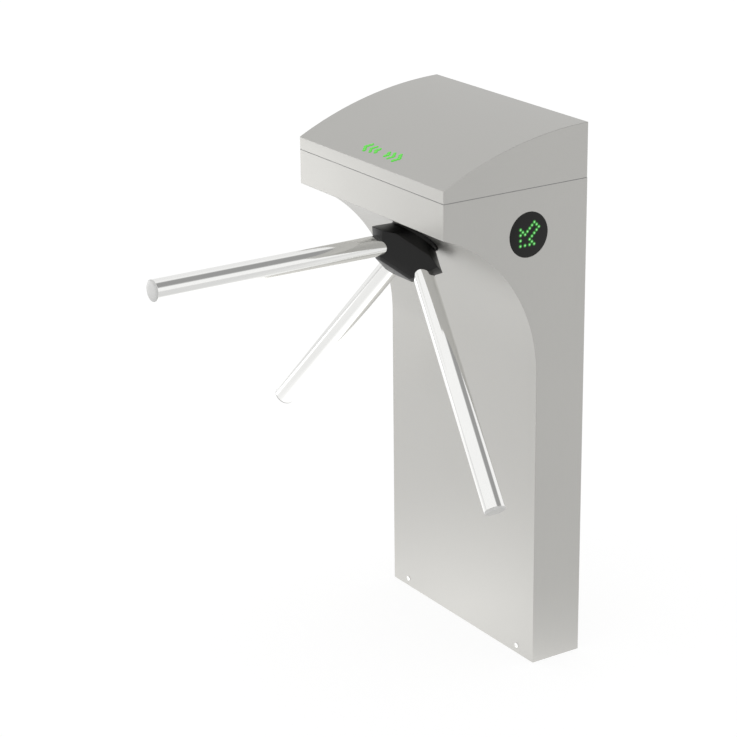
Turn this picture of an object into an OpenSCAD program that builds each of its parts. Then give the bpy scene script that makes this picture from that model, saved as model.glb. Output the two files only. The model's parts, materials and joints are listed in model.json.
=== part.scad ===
// Tripod turnstile: a sheet steel post with an overhanging head, and three arms on a leaning hub.
// Millimetres, +Z up, X along the way people walk, -Y towards the passage.
// The origin is the centre of the post's footprint, on the floor.

/* [Cabinet] */
// Width of the cabinet, side to side
body_w = 456; // [440:1:520]
// Depth of the head, from its front face to the back
head_depth = 302; // [296:1:330]
// Depth of the post
post_depth = 104; // [100:1:116]
// Height at the back of the lid, the highest point
total_h = 1000; // [980:1:1030]
// Rise of the lid from its front edge to the back
lid_rise = 75; // [70:1:79]
// Height of the lid's front face, above the seam
lid_face_h = 24; // [20:1:30]
// Height of the head's front face, below the seam
head_face_h = 63; // [57:1:70]
// Radius of the curved underside
arc_r = 298; // [290:1:306]
// Radius of the lid's arched top
lid_r = 703; // [640:1:800]
// Thickness of the sheet steel
sheet_t = 1.5; // [1:0.1:2]
// Thickness of the seal under the lid
seal_t = 1.2; // [0.8:0.1:2]

/* [Base and frame] */
// Thickness of the foot plate
base_t = 15; // [10:1:20]
// Anchor spacing across the width
anchor_dx = 340; // [300:5:360]
// Anchor spacing across the depth
anchor_dy = 56; // [50:1:60]
// Radius of an anchor hole
anchor_r = 7; // [5:0.5:8]
// Radius of the cable entry
cable_r = 22; // [15:1:26]
// Side of the square frame tube
tube_w = 25; // [20:1:30]
// Wall of the upright tubes
upright_wall = 4; // [2:0.5:5]
// Wall of the tubes under the lid
rail_wall = 2; // [1.5:0.5:3]

/* [Rotor] */
// Lean of the hub's axis below level, and half the angle of the arms' cone
tilt = 49.7; // [49:0.1:50]
// Place of the hub around the curved underside
hub_place = 48.3; // [48:0.1:49.5]
// Distance from the curved underside in to the point where the arms' axes meet
hub_sink = 10.7; // [10:0.1:14]
// Length of an arm from that point to its end
arm_len = 524; // [460:1:528]
// Radius of an arm's tube
arm_r = 19; // [17:0.5:20]
// Wall of an arm's tube
arm_wall = 1.5; // [1:0.1:2.5]
// Distance from the arms' meeting point to the bottom of a socket
socket_start = 34; // [33:0.5:38]
// Thickness of an arm's end cap
cap_t = 3; // [2:0.5:5]
// Radius of the hub's round neck
neck_r = 46; // [42:1:48]
// Largest radius of the hub, over the arms
rim_r = 78; // [76:0.5:80]
// Distance from the hub's axis to the upper edge of a flat side
rim_flat = 58; // [56:0.5:60]
// Distance from the hub's axis to the lower edge of a flat side
face_flat = 31.5; // [29:0.5:34]
// Height of a flat side's upper edge above the point where the arms meet
rim_low = 16; // [14:0.5:18]
// Height of the hub's widest place
rim_high = 25; // [23:0.5:27]
// Height of the hub's outer face
face_z = 62; // [60:0.5:64]
// Thickness of the cover on the outer face
cover_t = 5; // [3:0.5:6]

/* [Mechanism] */
// Radius of the main shaft
shaft_r = 15; // [13:0.5:16]
// Outer radius of the two shaft bearings
bearing_r = 31; // [29:0.5:33]
// Width of a shaft bearing
bearing_w = 16; // [14:1:18]
// Thickness of the cross plate
plate_t = 6; // [4:0.5:8]
// Radius of the index disc
index_r = 60; // [58:0.5:62]
// Depth of a notch in the index disc
notch_d = 9; // [8:0.5:10]
// Width of a notch
notch_w = 12; // [11:0.5:14]
// Tooth module of the damper gears
gear_module = 2; // [2:0.01:2.04]
// Teeth of the gear on the shaft
gear_teeth = 60; // [58:1:62]
// Teeth of the damper's pinion
pinion_teeth = 16; // [15:1:18]
// Turn of a lock pawl from free to locked
lock_angle = 14; // [13.5:0.1:15]
// Length of a pawl's drive arm
drive_arm = 38; // [36:0.5:40]
// Radius of a solenoid's plunger
plunger_r = 5; // [4:0.5:6]

/* [Indicators] */
// Radius of the round window
window_r = 40.7; // [36:0.1:44]
// Distance of the window's centre from the back of the cabinet
window_back = 125; // [110:1:140]
// Distance of the window's centre below the seam
window_drop = 81; // [75:1:90]
// Spacing of the arrow's lights
led_pitch = 4.85; // [4.2:0.05:5]
// Radius of an arrow light
led_r = 2.3; // [1.7:0.1:2.4]
// Distance of the display's lights from the lid's front edge
display_in = 29; // [25:1:40]

/* [Hidden] */

STEEL = "#c6c6c2";
DARK = "#363634";
ZINC = "#b4b8bc";
GREEN = "#35e03a";
BOARD = "#2c6e49";

// Running clearance, on the radius, of a shaft in its bore
run = 0.04;
// Clearance, on the radius, of a piece pushed or screwed into another
fit = 0.1;
$fn = 64;

// Cabinet outline, in the plane of depth and height
back_y = post_depth / 2;
post_front = -post_depth / 2;
head_front = back_y - head_depth;
lid_front_h = total_h - lid_rise;
seam_h = lid_front_h - lid_face_h;
chin_h = seam_h - head_face_h;
arc_y = post_front - arc_r;
arc_z = chin_h - sqrt(arc_r * arc_r - pow(head_front - arc_y, 2));
lid_chord = norm([head_depth, lid_rise]);
lid_drop = sqrt(lid_r * lid_r - lid_chord * lid_chord / 4) / lid_chord;
lid_c = [
    head_front + head_depth / 2 + lid_rise * lid_drop,
    lid_front_h + lid_rise / 2 - head_depth * lid_drop
];
inner_x = body_w / 2 - sheet_t;
inner_back = back_y - sheet_t;
lid_low = seam_h + seal_t;

// Rotor and mechanism: heights along the hub's axis, zero where the arms meet, positive outwards
apex_y = arc_y + (arc_r - hub_sink) * cos(hub_place);
apex_z = arc_z + (arc_r - hub_sink) * sin(hub_place);
neck_top = -4;
neck_end = -21;
collar_end = -29;
housing_front = -30;
plate_front = -50;
plate_back = plate_front - plate_t;
flange_t = 8;
housing_end = -78;
index_front = -82;
index_back = -90;
gear_front = -96;
gear_back = -106;
code_front = -116;
code_back = -118;
nut_back = -126;
shaft_end = -130;
hub_bore = 2;
web_top = 22;
// The hub widens evenly from its neck to its widest place
shoulder_r = neck_r + (rim_r - neck_r) * (rim_low - neck_top) / (rim_high - neck_top);
rim_edge = 1.5;
bolt_r = 5;
bolt_head_r = 8.5;
plate_up = 82;
plate_down = -104;
bracket_t = 3;
rail_x = inner_x - tube_w;
plate_x = rail_x - bracket_t;
flange_r = 56;
housing_r = bearing_r + 7;
neck_gap = 3;
bolt_circle = 48;
mech_screw_r = 3;
grub_r = 3;
cover_inset = 0.5;

// Lock pawl: where its nose, pivot and drive arm lie, seen along the hub's axis, right-hand side
nose_dir = [sin(60), cos(60)];
nose_side = [cos(60), -sin(60)];
pawl_half = 7;
pivot_out = 12;
nose_taper = 3;
pivot_along = 44;
pivot = nose_dir * (index_r + pivot_out) + nose_side * pivot_along;
pivot_r = 5;
drive_at = pivot + drive_arm * [-sin(lock_angle / 2), -cos(lock_angle / 2)];
pawl_front = index_front - 1;
pawl_back = index_back + 1;
drive_pin_r = 3;
plunger_z = plate_back - 17;
tongue_t = 4;
solenoid = [48, 34, 34];
solenoid_x = drive_at[0] + 33;
collar_x = drive_at[0] + 12;
// The brackets' flanges fill most of the room between the solenoids and the brackets
bracket_w = 0.74 * (plate_x - solenoid_x - solenoid[0]);

// Damper gears
pinion_y = -(gear_teeth + pinion_teeth) * gear_module / 2;
pressure = 20;
damper_r = 18;
damper_back = -80;

window_y = back_y - window_back;
window_h = seam_h - window_drop;
window_lip = 3;
housing_wall = 2;
window_depth = 20;
light_board_t = 1.6;
display_r = 2;
display_board_w = 130;
display_board_d = 34;
display_depth = 8;

// Lid lock: its hook swings in a plane just inside the catch
lid_lock_y = 12;
lid_lock_z = seam_h + 25;
lock_r = 9;
plug_r = 5;
hook_r = 24;
catch_t = 2.5;
catch_pin_r = 2.5;
hook_z = rail_x - catch_t - 4;

hinge_xs = [-150, 150];
knuckle_r = 3.5;
hinge_pin_r = 2;
hinge_gap = 0.3;
hinge_y = back_y + knuckle_r + hinge_gap;
hinge_z = seam_h + seal_t / 2;
leaf_t = 1.5;
leaf_h = 24;
leaf_w = 60;

// Electronics and panel screws
board_y = inner_back - tube_w;
board_z = 480;
board_w = 210;
board_h = 160;
standoff_h = 8;
board_t = 1.6;
shelf_t = 2;
shelf_margin = 60;
supply = [100, 48, 130];
supply_x = 40;
supply_y = inner_back - supply[1] - 3;
panel_screw_r = 3;
front_screw_x = 178;
front_screw_len = 9;
lug_w = 20;
lug_d = 9;
lug_up = 6;
rear_screw_len = 9;
rear_screw_in = 120;

// Shared shapes

// The cabinet seen from the side, drawn in by g all round
module outline(g = 0) {
    difference() {
        intersection() {
            translate([head_front + g, 0])
                square([head_depth - 2 * g, total_h]);
            translate(lid_c)
                circle(r = lid_r - g, $fn = 360);
        }
        translate([arc_y, arc_z])
            circle(r = arc_r + g, $fn = 180);
        translate([head_front - 1, -1])
            square([post_front + g - head_front + 1, arc_z + 1]);
    }
}

// The sheet's edge in that view
module skin() {
    difference() {
        outline();
        outline(sheet_t);
    }
}

// Keeps what lies between two heights in that view
module between(low, high) {
    intersection() {
        children();
        translate([head_front - 10, low])
            square([head_depth + 20, high - low]);
    }
}

// Stands a side view up, from x to x + w
module across(x, w) {
    translate([x, 0, 0])
        rotate([90, 0, 90])
            linear_extrude(w)
                children();
}

// Puts its children where the arms meet, with +Z out along the hub's axis
module at_hub() {
    translate([0, apex_y, apex_z])
        rotate([90 + tilt, 0, 0])
            children();
}

// Turns +Z to an arm's direction, a degrees round the hub from the level arm
module along_arm(a) {
    rotate([0, 0, -a])
        rotate([-tilt, 0, 0])
            children();
}

// A ring or tube between two heights, the lower one first
module ring(low, high, r, hole) {
    translate([0, 0, low])
        difference() {
            cylinder(r = r, h = high - low);
            translate([0, 0, -1])
                cylinder(r = hole, h = high - low + 2);
        }
}

// A square tube of the frame, along +Z
module frame_tube(len, wall) {
    linear_extrude(len)
        difference() {
            square(tube_w);
            translate([wall, wall])
                square(tube_w - 2 * wall);
        }
}

// A screw with its round head at zero and its shank below
module screw(r, head_r, head_h, len) {
    translate([0, 0, -len])
        cylinder(r = r, h = len + 0.01);
    difference() {
        cylinder(r = head_r, h = head_h);
        translate([0, 0, head_h * 0.4])
            cylinder(r = r * 0.7, h = head_h, $fn = 6);
    }
}

// Distance from the hub's axis to its three flat sides, at a height
function flat_at(z) = rim_flat + (face_flat - rim_flat) * (z - rim_low) / (face_z - rim_low);

// Radius of the hub over the arms, below its widest place: its side is square to the arms
function lobe_at(z) = rim_r - (z - rim_high) / tan(tilt);

// A thin slice of the hub: a disc with the three flats cut off, drawn in by g
module hub_slice(z, r, g = 0) {
    translate([0, 0, z])
        linear_extrude(0.01)
            intersection() {
                circle(r = r - g);
                rotate(90)
                    circle(r = 2 * (flat_at(z) - g), $fn = 3);
            }
}

// A point on an involute of the base circle rb, unrolled by t degrees
function involute(rb, t) = rb * [cos(t) + t * PI / 180 * sin(t), sin(t) - t * PI / 180 * cos(t)];

// A spur gear's outline, with a tooth on +Y
module gear_outline(teeth) {
    pitch_r = teeth * gear_module / 2;
    base_r = pitch_r * cos(pressure);
    root_r = pitch_r - 1.25 * gear_module;
    tip_r = pitch_r + 0.9 * gear_module;
    start_r = max(base_r, root_r);
    t_low = sqrt(pow(start_r / base_r, 2) - 1) * 180 / PI;
    t_high = sqrt(pow(tip_r / base_r, 2) - 1) * 180 / PI;
    // Half a tooth at the pitch circle, less the backlash, plus the involute's own angle there
    half = 90 / teeth - 0.05 * gear_module / pitch_r * 180 / PI + tan(pressure) * 180 / PI - pressure;
    flank = [for (i = [0:4]) involute(base_r, t_low + (t_high - t_low) * i / 4)];
    union() {
        circle(r = root_r);
        for (k = [0:teeth - 1])
            rotate(90 + k * 360 / teeth)
                polygon(concat(
                    [[root_r * 0.9, -root_r * sin(half)]],
                    [for (p = flank) turned(p, -half)],
                    [for (i = [4:-1:0]) turned([flank[i][0], -flank[i][1]], half)],
                    [[root_r * 0.9, root_r * sin(half)]]
                ));
    }
}

function turned(p, a) = [p[0] * cos(a) - p[1] * sin(a), p[0] * sin(a) + p[1] * cos(a)];

// Base and frame

// The foot plate, with two lugs that take the screws of the post's front
module base_plate() {
    color(ZINC)
        difference() {
            union() {
                translate([-inner_x, post_front + sheet_t, 0])
                    cube([2 * inner_x, post_depth - 2 * sheet_t, base_t]);
                for (x = [-1, 1])
                    translate([x * front_screw_x - lug_w / 2, post_front + sheet_t, 0])
                        cube([lug_w, lug_d, base_t + lug_up]);
            }
            for (x = [-1, 1], y = [-1, 1])
                translate([x * anchor_dx / 2, y * anchor_dy / 2, -1])
                    cylinder(r = anchor_r, h = base_t + 2);
            translate([0, 0, -1])
                cylinder(r = cable_r, h = base_t + 2);
            front_screw_places()
                translate([0, 0, -front_screw_len - 1])
                    cylinder(r = panel_screw_r + fit, h = front_screw_len);
        }
}

module cable_grommet() {
    lip = 3;
    color(DARK)
        difference() {
            union() {
                translate([0, 0, 1])
                    cylinder(r = cable_r - fit, h = base_t - 1 + fit);
                translate([0, 0, base_t + fit])
                    cylinder(r = cable_r + lip, h = lip);
            }
            cylinder(r = cable_r - 5, h = base_t + 10);
        }
}

module rear_uprights() {
    color(ZINC)
        difference() {
            for (side = [0, 1])
                mirror([side, 0, 0])
                    translate([inner_x - tube_w, inner_back - tube_w, base_t])
                        frame_tube(seam_h - tube_w - base_t, upright_wall);
            rear_screw_places()
                translate([0, 0, -rear_screw_len - 1])
                    cylinder(r = panel_screw_r + fit, h = rear_screw_len);
        }
}

// The square frame under the lid, with the lid lock's catch on its left rail
module head_rails() {
    cross_w = 2 * (inner_x - tube_w);
    color(ZINC) {
        for (side = [0, 1])
            mirror([side, 0, 0])
                translate([inner_x - tube_w, inner_back, seam_h - tube_w])
                    rotate([90, 0, 0])
                        frame_tube(head_depth - 2 * sheet_t, rail_wall);
        for (y = [head_front + sheet_t, inner_back - tube_w])
            translate([-cross_w / 2, y, seam_h - tube_w])
                rotate([90, 0, 90])
                    frame_tube(cross_w, rail_wall);
        translate([-rail_x, lid_lock_y - 8, seam_h - 20])
            cube([catch_t, 16, lid_lock_z - hook_r - seam_h + 24]);
        translate([-rail_x + catch_t - 0.01, lid_lock_y, lid_lock_z - hook_r])
            rotate([0, 90, 0])
                cylinder(r = catch_pin_r, h = 8);
    }
}

module lid_seal() {
    inset = 0.4;
    width = 8;
    color(DARK)
        difference() {
            translate([inset - body_w / 2, head_front + inset, seam_h])
                cube([body_w - 2 * inset, head_depth - 2 * inset, seal_t]);
            translate([inset + width - body_w / 2, head_front + inset + width, seam_h - 1])
                cube([body_w - 2 * (inset + width), head_depth - 2 * (inset + width), seal_t + 2]);
        }
}

// Sheets

module side_sheet() {
    difference() {
        between(0, seam_h)
            outline();
        translate([window_y, window_h])
            circle(r = window_r, $fn = 128);
    }
}

module side_panel_right() {
    color(STEEL)
        across(inner_x, sheet_t)
            side_sheet();
}

module side_panel_left() {
    color(STEEL)
        across(-body_w / 2, sheet_t)
            side_sheet();
}

// Two screws low on the post's front go into the foot plate's lugs
module front_screw_places() {
    for (x = [-1, 1])
        translate([x * front_screw_x, post_front, base_t])
            rotate([90, 0, 0])
                children();
}

module front_panel() {
    color(STEEL)
        difference() {
            across(-inner_x, 2 * inner_x)
                difference() {
                    between(0, chin_h + 10)
                        skin();
                    translate([head_front - 1, 0])
                        square([sheet_t + 1, total_h]);
                    translate([back_y - 20, -1])
                        square([30, total_h]);
                }
            at_hub()
                translate([0, 0, -60])
                    cylinder(r = neck_r + neck_gap, h = 80);
            front_screw_places()
                translate([0, 0, -10])
                    cylinder(r = panel_screw_r + fit, h = 20);
        }
}

module head_front_panel() {
    color(STEEL)
        across(-inner_x, 2 * inner_x)
            intersection() {
                between(0, seam_h)
                    skin();
                translate([head_front, 0])
                    square([sheet_t, total_h]);
            }
}

module rear_panel() {
    color(STEEL)
        difference() {
            translate([-inner_x, inner_back, 0])
                cube([2 * inner_x, sheet_t, seam_h]);
            rear_screw_places()
                translate([0, 0, -10])
                    cylinder(r = panel_screw_r + fit, h = 20);
        }
}

// Screws go through the rear sheet into the uprights
module rear_screw_places() {
    for (x = [-1, 1], z = [-1:1])
        translate([x * (inner_x - tube_w / 2), back_y, seam_h / 2 + z * (seam_h / 2 - rear_screw_in)])
            rotate([-90, 0, 0])
                children();
}

module panel_screws() {
    color(ZINC) {
        front_screw_places()
            screw(panel_screw_r, 5, 1.6, front_screw_len);
        rear_screw_places()
            screw(panel_screw_r, 5.5, 2, rear_screw_len);
    }
}

// Electronics

// A sheet across the fronts of the uprights, with the board on its back, behind the rear panel
module electronics_plate() {
    color(ZINC)
        translate([-inner_x + 1, board_y - shelf_t, board_z - shelf_margin])
            cube([2 * inner_x - 2, shelf_t, board_h + 2 * shelf_margin]);
}

module board_standoffs() {
    color(ZINC)
        for (x = [-1, 1], z = [10, board_h - 10])
            translate([x * (board_w / 2 - 10), board_y, board_z + z])
                rotate([-90, 0, 0])
                    cylinder(r = 3, h = standoff_h, $fn = 6);
}

module control_board() {
    // left edge, lower edge, width and height of each chip on the board
    chips = [[45, 40, 24, 24], [95, 90, 34, 18], [155, 50, 20, 30], [30, 120, 18, 14], [160, 120, 26, 12]];
    color(BOARD)
        translate([-board_w / 2, board_y + standoff_h, board_z])
            cube([board_w, board_t, board_h]);
    color(DARK)
        for (c = chips)
            translate([c[0] - board_w / 2, board_y + standoff_h + board_t - 0.01, board_z + c[1]])
                cube([c[2], 6, c[3]]);
}

// Stands on the foot plate, with vents in its top
module power_supply() {
    color(ZINC)
        difference() {
            translate([supply_x, supply_y, base_t])
                cube(supply);
            for (y = [8:8:supply[1] - 12])
                translate([supply_x + 15, supply_y + y, base_t + supply[2] - 4])
                    cube([supply[0] - 30, 4, 5]);
        }
}

// Direction indicators

// The arrow's lights in steps from its tip, which points down and forwards
function arrow_steps() = [
    [0, 0], [2, 0], [4, 0], [6, 0], [5, 1], [4, 2], [5, 3], [6, 4], [7, 5], [8, 6],
    [7, 7], [6, 8], [5, 7], [4, 6], [3, 5], [2, 4], [1, 5], [0, 6], [0, 4], [0, 2]
];

module arrow_lights(r, low, high) {
    for (s = arrow_steps())
        translate([window_y + (s[0] - 3.65) * led_pitch, window_h + (s[1] - 3.7) * led_pitch, low])
            cylinder(r = r, h = high - low, $fn = 24);
}

// A side view stood up on the right-hand cabinet side, with +Z of its children outwards from the centre
module on_side(side) {
    mirror([side < 0 ? 1 : 0, 0, 0])
        rotate([90, 0, 90])
            children();
}

module indicator_window(side) {
    color(DARK)
        on_side(side)
            difference() {
                translate([window_y, window_h, 0]) {
                    translate([0, 0, inner_x - 1])
                        cylinder(r = window_r - 0.3, h = sheet_t + 1.4, $fn = 128);
                    translate([0, 0, inner_x - 2])
                        cylinder(r = window_r + window_lip, h = 2, $fn = 128);
                }
                arrow_lights(led_r + fit, inner_x - 10, inner_x + 10);
            }
}

module indicator_lights(side) {
    color(GREEN)
        on_side(side)
            arrow_lights(led_r, inner_x - 6, inner_x + sheet_t + 0.8);
    color(BOARD)
        on_side(side)
            translate([window_y, window_h, inner_x - 6 - light_board_t])
                cylinder(r = window_r + window_lip - fit, h = light_board_t + 0.05);
}

module indicator_housing(side) {
    cup_r = window_r + window_lip + housing_wall;
    color(DARK)
        on_side(side)
            translate([window_y, window_h, inner_x - window_depth])
                difference() {
                    cylinder(r = cup_r, h = window_depth);
                    translate([0, 0, housing_wall])
                        cylinder(r = cup_r - housing_wall, h = window_depth);
                    translate([0, 0, -1])
                        cylinder(r = 6, h = housing_wall + 2);
                }
}

module indicator_window_right() indicator_window(1);

module indicator_window_left() indicator_window(-1);

module indicator_lights_right() indicator_lights(1);

module indicator_lights_left() indicator_lights(-1);

module indicator_housing_right() indicator_housing(1);

module indicator_housing_left() indicator_housing(-1);

// Lid

// Places of the display's lights: three arrow heads each way, larger towards the ends
module display_places() {
    tips = [19, 35, 53];
    steps = [1, 2, 2];
    pitches = [4, 3.4, 4];
    for (side = [-1, 1], k = [0:2], j = [-steps[k]:steps[k]])
        translate([
            side * (tips[k] - abs(j) * pitches[k]),
            head_front + display_in + j * pitches[k],
            lid_front_h
        ])
            children();
}

module display_lights() {
    color(GREEN)
        intersection() {
            display_places()
                translate([0, 0, -display_depth])
                    cylinder(r = display_r, h = 40, $fn = 24);
            across(-body_w / 2, body_w)
                translate(lid_c)
                    circle(r = lid_r + 0.5, $fn = 360);
        }
}

module display_board() {
    color(BOARD)
        translate([
            -display_board_w / 2,
            head_front + display_in - display_board_d / 2,
            lid_front_h - display_depth - light_board_t
        ])
            cube([display_board_w, display_board_d, light_board_t]);
    color(DARK)
        for (x = [5 - display_board_w / 2, display_board_w / 2 - 5])
            intersection() {
                translate([x, head_front + display_in, lid_front_h - display_depth])
                    cylinder(r = 3, h = 40, $fn = 24);
                across(-body_w / 2, body_w)
                    translate(lid_c)
                        circle(r = lid_r - sheet_t - 0.02, $fn = 360);
            }
}

module lid() {
    color(STEEL)
        difference() {
            union() {
                across(-body_w / 2, body_w)
                    between(lid_low, total_h)
                        skin();
                for (x = [-body_w / 2, inner_x])
                    across(x, sheet_t)
                        between(lid_low, total_h)
                            outline();
            }
            display_places()
                translate([0, 0, -5])
                    cylinder(r = display_r + fit, h = 50, $fn = 24);
            translate([-body_w / 2 - 1, lid_lock_y, lid_lock_z])
                rotate([0, 90, 0])
                    cylinder(r = lock_r + fit, h = sheet_t + 2);
        }
}

// Puts its children on the lock's axis, with +Z outwards through the lid's left wall
module at_lock() {
    translate([0, lid_lock_y, lid_lock_z])
        rotate([90, 0, -90])
            children();
}

// The sleeve, its rim outside the lid and the nut behind the lid's wall
module lid_lock() {
    sleeve_end = rail_x + 1;
    color(ZINC)
        at_lock()
            difference() {
                union() {
                    translate([0, 0, sleeve_end])
                        cylinder(r = lock_r, h = body_w / 2 - sleeve_end + 0.01);
                    translate([0, 0, body_w / 2])
                        cylinder(r = lock_r + 2, h = 2);
                    translate([0, 0, inner_x - 4])
                        cylinder(r = lock_r + 4, h = 4, $fn = 6);
                }
                translate([0, 0, sleeve_end - 1])
                    cylinder(r = plug_r + run, h = body_w);
            }
}

// A part of a disc between two angles under 180 degrees apart
module sector(r, from, to) {
    mid = (from + to) / 2;
    intersection() {
        circle(r = r);
        polygon([
            [0, 0],
            2 * r * [cos(from), sin(from)],
            2 * r * [cos(mid), sin(mid)],
            2 * r * [cos(to), sin(to)]
        ]);
    }
}

// The plug with its key slot, and the hook that swings under the catch's pin
module lock_cam() {
    slot = catch_pin_r + 0.7;
    color("#8f9398")
        at_lock() {
            difference() {
                translate([0, 0, hook_z])
                    cylinder(r = plug_r, h = body_w / 2 + 2.4 - hook_z);
                translate([-3.5, -0.7, body_w / 2 + 0.4])
                    cube([7, 1.4, 4]);
            }
            translate([0, 0, hook_z])
                linear_extrude(2.5)
                    difference() {
                        union() {
                            circle(r = plug_r + 4);
                            sector(hook_r + 8, -35, 35);
                        }
                        difference() {
                            sector(hook_r + slot, -40, 12);
                            circle(r = hook_r - slot);
                        }
                    }
        }
}

// Knuckles of one hinge from x0 to x1, with a leaf that reaches up (1) or down (-1)
module leaf(dir, x0, x1) {
    difference() {
        union() {
            translate([x0, hinge_y, hinge_z])
                rotate([0, 90, 0])
                    cylinder(r = knuckle_r, h = x1 - x0);
            translate([x0, back_y, dir > 0 ? hinge_z : hinge_z - knuckle_r - hinge_gap - 0.5])
                cube([x1 - x0, leaf_t, knuckle_r + hinge_gap + 0.5]);
        }
        translate([x0 - 1, hinge_y, hinge_z])
            rotate([0, 90, 0])
                cylinder(r = hinge_pin_r + run, h = x1 - x0 + 2);
    }
}

module lid_hinge_leaves() {
    color(ZINC)
        for (x = hinge_xs) {
            leaf(1, x - leaf_w / 6 + hinge_gap, x + leaf_w / 6 - hinge_gap);
            translate([x - leaf_w / 2, back_y, hinge_z + knuckle_r + hinge_gap])
                cube([leaf_w, leaf_t, leaf_h]);
        }
}

module cabinet_hinge_leaves() {
    color(ZINC)
        for (x = hinge_xs) {
            leaf(-1, x - leaf_w / 2, x - leaf_w / 6);
            leaf(-1, x + leaf_w / 6, x + leaf_w / 2);
            translate([x - leaf_w / 2, back_y, hinge_z - knuckle_r - hinge_gap - leaf_h])
                cube([leaf_w, leaf_t, leaf_h]);
        }
}

module hinge_pins() {
    color(ZINC)
        for (x = hinge_xs)
            translate([x - leaf_w / 2 - 1, hinge_y, hinge_z])
                rotate([0, 90, 0])
                    cylinder(r = hinge_pin_r, h = leaf_w + 2);
}

// Mechanism

module mechanism_plate() {
    color(ZINC)
        at_hub()
            difference() {
                translate([-plate_x, plate_down, plate_back])
                    cube([2 * plate_x, plate_up - plate_down, plate_t]);
                translate([0, 0, plate_back - 1])
                    cylinder(r = housing_r + 0.3, h = plate_t + 2);
                mechanism_screw_places()
                    translate([0, 0, -30])
                        cylinder(r = mech_screw_r + fit, h = 40);
            }
}

// Depth and height of the point that lies v up the hub's level arm side and w out along its axis
function side_point(v, w) = [
    apex_y - v * sin(tilt) - w * cos(tilt),
    apex_z + v * cos(tilt) - w * sin(tilt)
];

// Two hangers that carry the cross plate from the side rails, each with a flange behind the plate
module mechanism_brackets() {
    low_front = side_point(plate_down, plate_front);
    low_back = side_point(plate_down, plate_back - bracket_w);
    high_front = side_point(plate_up, plate_front);
    color(ZINC)
        difference() {
            for (side = [0, 1])
                mirror([side, 0, 0]) {
                    across(plate_x, bracket_t)
                        polygon([
                            high_front, low_front, low_back,
                            [low_back[0], seam_h - 4], [high_front[0], seam_h - 4]
                        ]);
                    at_hub()
                        translate([plate_x - bracket_w, plate_down, plate_back - bracket_t])
                            cube([bracket_w + 0.01, plate_up - plate_down, bracket_t]);
                }
            at_hub()
                mechanism_screw_places()
                    translate([0, 0, -30])
                        cylinder(r = mech_screw_r + fit, h = 40);
        }
}

module bearing_housing() {
    color(ZINC)
        at_hub()
            difference() {
                union() {
                    translate([0, 0, housing_end])
                        cylinder(r = housing_r, h = housing_front - housing_end);
                    translate([0, 0, plate_back - flange_t])
                        cylinder(r = flange_r, h = flange_t);
                }
                translate([0, 0, housing_end - 1])
                    cylinder(r = bearing_r - 4, h = housing_front - housing_end + 2);
                translate([0, 0, housing_front - bearing_w])
                    cylinder(r = bearing_r, h = bearing_w + 1);
                translate([0, 0, housing_end - 1])
                    cylinder(r = bearing_r, h = bearing_w + 1);
                housing_screw_places()
                    translate([0, 0, -30])
                        cylinder(r = mech_screw_r + fit, h = 40);
            }
}

module bearings() {
    color(STEEL)
        at_hub()
            for (z = [housing_front - bearing_w, housing_end])
                ring(z, z + bearing_w, bearing_r, shaft_r + run);
}

module housing_screw_places() {
    for (a = [30:60:330])
        rotate([0, 0, a])
            translate([bolt_circle, 0, plate_front])
                children();
}

// Every screw that comes through the cross plate from its front
module mechanism_screw_places() {
    housing_screw_places()
        children();
    for (side = [-1, 1], x = [10, solenoid[0] - 10])
        translate([side * (solenoid_x + x), drive_at[1], plate_front])
            children();
    for (side = [-1, 1], y = [-70, 0, 60])
        translate([side * (plate_x - bracket_w / 2), y, plate_front])
            children();
    for (x = [-25, 25])
        translate([x, pinion_y, plate_front])
            children();
}

module mechanism_screws() {
    color(ZINC)
        at_hub()
            mechanism_screw_places()
                screw(mech_screw_r, 5, 4, plate_t + 3.5);
}

module pawl_pivots() {
    color(ZINC)
        at_hub()
            for (side = [0, 1])
                mirror([side, 0, 0])
                    translate([pivot[0], pivot[1], 0]) {
                        translate([0, 0, pawl_back - 2])
                            cylinder(r = pivot_r, h = plate_back - pawl_back + 2);
                        translate([0, 0, pawl_front + 0.3])
                            cylinder(r = 8, h = plate_back - pawl_front - 0.3);
                        translate([0, 0, pawl_back - 4])
                            cylinder(r = 8, h = 3.7);
                    }
}

// Right-hand pawl, drawn locked and then turned back to free
module lock_pawl() {
    nose_r = index_r - notch_d + 1.5;
    nose_half = notch_w / 2 - 1;
    spin = atan2(nose_side[1], nose_side[0]);
    color("#8f9398")
        translate([pivot[0], pivot[1], 0])
            rotate([0, 0, -lock_angle])
                translate([-pivot[0], -pivot[1], 0]) {
                    translate([0, 0, pawl_back])
                        linear_extrude(pawl_front - pawl_back)
                            difference() {
                                union() {
                                    translate(pivot)
                                        circle(r = 11);
                                    rotate(spin)
                                        translate([-nose_half, index_r + pivot_out - pawl_half])
                                            square([pivot_along + nose_half, 2 * pawl_half]);
                                    rotate(spin)
                                        polygon([
                                            [-nose_half, index_r - 0.5],
                                            [nose_taper - nose_half, nose_r],
                                            [nose_half, nose_r],
                                            [nose_half, index_r + pivot_out],
                                            [-nose_half, index_r + pivot_out]
                                        ]);
                                    translate(pivot)
                                        rotate(lock_angle / 2)
                                            translate([-6, -drive_arm - 6])
                                                square([12, drive_arm + 6]);
                                }
                                translate(pivot)
                                    circle(r = pivot_r + run);
                            }
                    translate([pivot[0], pivot[1], 0])
                        rotate([0, 0, lock_angle / 2])
                            translate([0, -drive_arm, pawl_front - 0.01])
                                cylinder(r = drive_pin_r, h = plunger_z + tongue_t - pawl_front);
                }
}

module lock_pawl_right()
    at_hub()
        lock_pawl();

module lock_pawl_left()
    at_hub()
        mirror([1, 0, 0])
            lock_pawl();

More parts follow.
